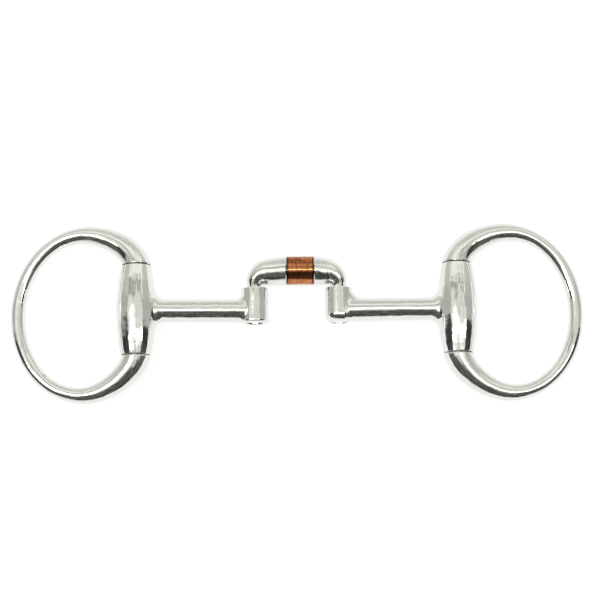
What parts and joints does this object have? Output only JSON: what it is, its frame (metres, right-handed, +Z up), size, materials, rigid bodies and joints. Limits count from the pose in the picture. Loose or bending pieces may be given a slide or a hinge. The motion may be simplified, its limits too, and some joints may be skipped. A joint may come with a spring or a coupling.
{
  "type": "snaffle bit",
  "caption": "Eggbutt snaffle bit: oval cheek rings hinged on barrels, straight cannons that swivel on a stepped port bridge, and a free-turning copper roller.",
  "frame": {"origin": "on the table under the middle of the mouth, level with the middle of the cheek rings", "axes": "+X along the mouth towards the right ring, +Y the way the port rises, +Z up from the table; the hinge axes run along Y"},
  "size_m": [0.2483, 0.0776, 0.0172],
  "materials": {
    "polished_steel": "hand polished",
    "pin_steel": "turned",
    "copper": "polished, slightly tarnished"
  },
  "bodies": {
    "bridge": {"left_bridge_half": "polished_steel", "right_bridge_half": "polished_steel", "roller_spindle": "pin_steel"},
    "left_cannon": {"left_cannon": "polished_steel"},
    "right_cannon": {"right_cannon": "polished_steel"},
    "left_ring": {"left_cheek_ring": "polished_steel", "left_hinge_pin": "pin_steel"},
    "right_ring": {"right_cheek_ring": "polished_steel", "right_hinge_pin": "pin_steel"},
    "roller": {"copper_roller": "copper"}
  },
  "joints": [
    {"name": "left_cannon_swivel", "type": "hinge", "parent": "bridge", "child": "left_cannon", "pos_m": [-0.0182, 0.00135, 0.0063], "axis": [0, 1, 0], "range_deg": [-60, 60]},
    {"name": "right_cannon_swivel", "type": "hinge", "parent": "bridge", "child": "right_cannon", "pos_m": [0.0182, 0.00135, 0.0063], "axis": [0, -1, 0], "range_deg": [-60, 60]},
    {"name": "left_ring_hinge", "type": "hinge", "parent": "left_cannon", "child": "left_ring", "pos_m": [-0.06935, 0.00135, 0.0086], "axis": [0, 1, 0], "range_deg": [-156.3, 173.7]},
    {"name": "right_ring_hinge", "type": "hinge", "parent": "right_cannon", "child": "right_ring", "pos_m": [0.06935, 0.00135, 0.0086], "axis": [0, -1, 0], "range_deg": [-156.3, 173.7]},
    {"name": "roller_spin", "type": "hinge", "parent": "bridge", "child": "roller", "pos_m": [0.0016, 0.0188, 0.0063], "axis": [1, 0, 0], "continuous": true}
  ]
}
